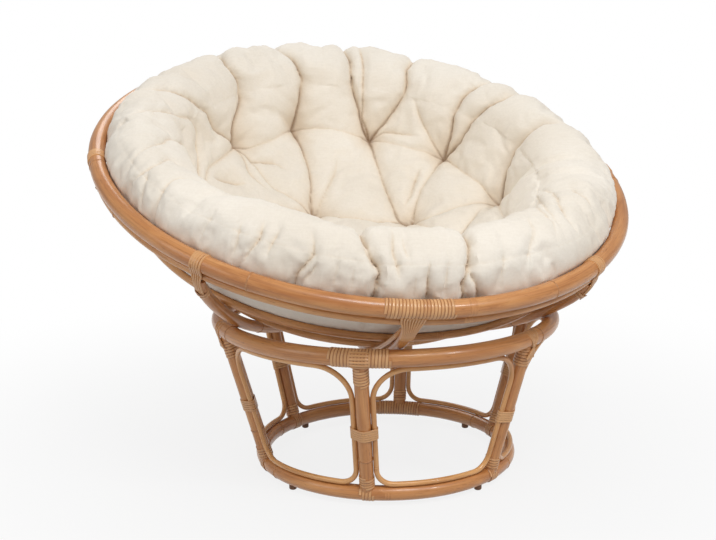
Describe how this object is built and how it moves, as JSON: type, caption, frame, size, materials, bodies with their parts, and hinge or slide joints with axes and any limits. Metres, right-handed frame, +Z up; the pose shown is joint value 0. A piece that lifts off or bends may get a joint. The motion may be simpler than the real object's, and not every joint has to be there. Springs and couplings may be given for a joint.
{
  "type": "papasan chair",
  "caption": "Round rattan bowl chair: a tilting bowl frame tied with cane rests in a drum-shaped pole base and holds a thick tufted cotton cushion.",
  "frame": {"origin": "on the floor, under the middle of the whole chair's bounding box", "axes": "+Z up; the chair faces -Y, with +X to the right in the picture"},
  "size_m": [1.0626, 1.011, 0.8187],
  "materials": {
    "rattan_pole": "satin lacquered rattan",
    "thin_rattan": "satin lacquered rattan",
    "cane_binding": "satin lacquered split cane",
    "cushion_cotton": "plain woven cotton",
    "glide": "matt"
  },
  "bodies": {
    "base": {"base_top_ring": "rattan_pole", "base_bottom_ring": "rattan_pole", "base_post_1": "rattan_pole", "bay_loop_1": "thin_rattan", "base_post_2": "rattan_pole", "bay_loop_2": "thin_rattan", "base_post_3": "rattan_pole", "bay_loop_3": "thin_rattan", "base_post_4": "rattan_pole", "bay_loop_4": "thin_rattan", "base_post_5": "rattan_pole", "bay_loop_5": "thin_rattan", "base_post_6": "rattan_pole", "bay_loop_6": "thin_rattan", "post_top_binding_1": "cane_binding", "post_bottom_binding_1": "cane_binding", "post_middle_binding_1": "cane_binding", "post_top_binding_2": "cane_binding", "post_bottom_binding_2": "cane_binding", "post_middle_binding_2": "cane_binding", "post_top_binding_3": "cane_binding", "post_bottom_binding_3": "cane_binding", "post_middle_binding_3": "cane_binding", "post_top_binding_4": "cane_binding", "post_bottom_binding_4": "cane_binding", "post_middle_binding_4": "cane_binding", "post_top_binding_5": "cane_binding", "post_bottom_binding_5": "cane_binding", "post_middle_binding_5": "cane_binding", "post_top_binding_6": "cane_binding", "post_bottom_binding_6": "cane_binding", "post_middle_binding_6": "cane_binding", "foot_glide_1": "glide", "foot_glide_2": "glide", "foot_glide_3": "glide", "foot_glide_4": "glide"},
    "bowl": {"rim": "rattan_pole", "under_rim_ring": "rattan_pole", "upper_hoop": "rattan_pole", "middle_hoop": "rattan_pole", "lower_hoop": "rattan_pole", "centre_hoop": "rattan_pole", "bowl_rib_1": "rattan_pole", "rim_scarf_binding": "cane_binding", "bowl_rib_2": "rattan_pole", "rim_binding_1": "cane_binding", "bowl_rib_3": "rattan_pole", "rim_binding_2": "cane_binding", "bowl_rib_4": "rattan_pole", "rim_binding_3": "cane_binding", "bowl_rib_5": "rattan_pole", "rim_binding_4": "cane_binding", "bowl_rib_6": "rattan_pole", "rim_binding_5": "cane_binding", "bowl_rib_7": "rattan_pole", "rim_binding_6": "cane_binding", "bowl_rib_8": "rattan_pole", "rim_binding_7": "cane_binding"},
    "cushion": {"cushion": "cushion_cotton"}
  },
  "joints": [
    {"name": "bowl_tilt", "type": "hinge", "parent": "base", "child": "bowl", "pos_m": [0.04434, -0.10174, 0.86305], "axis": [0.9178, 0.3971, 0], "range_deg": [-21.4, 3]},
    {"name": "cushion_lift", "type": "slide", "parent": "bowl", "child": "cushion", "axis": [0.1449, -0.3349, 0.9311], "range_m": [0, 0.4]}
  ]
}
